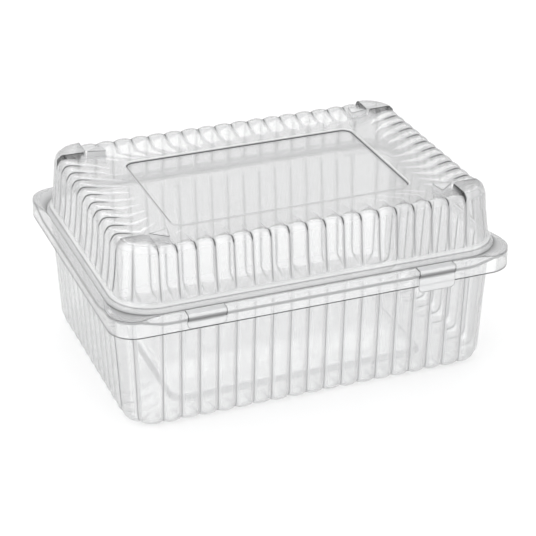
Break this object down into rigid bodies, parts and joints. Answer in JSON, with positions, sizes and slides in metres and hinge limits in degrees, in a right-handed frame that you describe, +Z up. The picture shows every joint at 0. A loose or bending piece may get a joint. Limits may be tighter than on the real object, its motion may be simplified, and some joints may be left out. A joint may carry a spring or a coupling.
{
  "type": "hinged clamshell container",
  "caption": "Clear ribbed clamshell container with a domed hinged lid, snap latch tabs and stacking lugs.",
  "frame": {"origin": "on the surface the tray stands on, below the middle of the closed container", "axes": "+X along the hinge, -Y towards the latches, +Z up"},
  "size_m": [0.224, 0.1747, 0.1036],
  "materials": {
    "clear_sheet": "clear thermoformed PET sheet, glossy on both sides"
  },
  "bodies": {
    "base": {"base_tray": "clear_sheet", "living_hinge": "clear_sheet"},
    "lid": {"lid": "clear_sheet"},
    "left_latch": {"latch_tab_left": "clear_sheet"},
    "right_latch": {"latch_tab_right": "clear_sheet"}
  },
  "joints": [
    {"name": "lid_hinge", "type": "hinge", "parent": "base", "child": "lid", "pos_m": [0, 0.0868, 0.06915], "axis": [-1, 0, 0], "range_deg": [0, 180], "deforming": ["living_hinge"]},
    {"name": "left_latch_bend", "type": "hinge", "parent": "lid", "child": "left_latch", "pos_m": [-0.064, -0.08225, 0.0695], "axis": [-1, 0, 0], "range_deg": [0, 35], "stiffness_Nm_per_rad": 0.01},
    {"name": "right_latch_bend", "type": "hinge", "parent": "lid", "child": "right_latch", "pos_m": [0.064, -0.08225, 0.0695], "axis": [-1, 0, 0], "range_deg": [0, 35], "stiffness_Nm_per_rad": 0.01}
  ]
}
